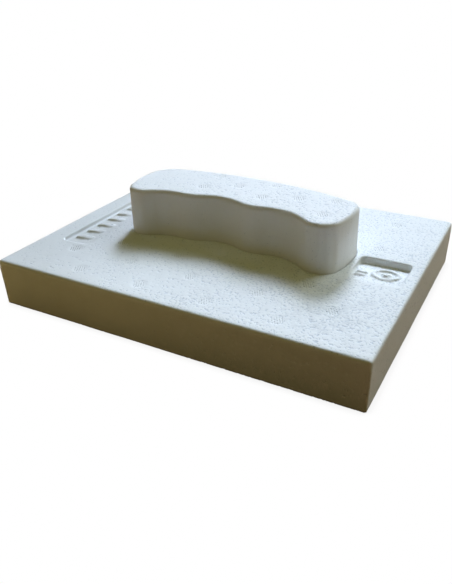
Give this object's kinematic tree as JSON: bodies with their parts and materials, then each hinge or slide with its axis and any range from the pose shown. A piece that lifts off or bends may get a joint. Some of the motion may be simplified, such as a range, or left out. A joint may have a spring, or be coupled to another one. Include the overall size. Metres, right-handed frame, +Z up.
{
  "type": "plasterer's hand float",
  "caption": "Hand float moulded in expanded polystyrene: a thick flat board for smoothing plaster or mortar, with a finger-grooved grip glued into its top.",
  "frame": {"origin": "centre of the sole, the flat working face under the board", "axes": "+X along the board, towards the end with the pocket; +Y from the finger side of the grip to the palm side; +Z up, out of the top face"},
  "size_m": [0.27, 0.206, 0.07],
  "materials": {
    "board_foam": "bead foam, moulded skin",
    "glue": "dried adhesive",
    "grip_foam": "bead foam, moulded skin"
  },
  "bodies": {
    "root": {"float_board": "board_foam", "adhesive_bed": "glue", "grip": "grip_foam"}
  },
  "joints": []
}
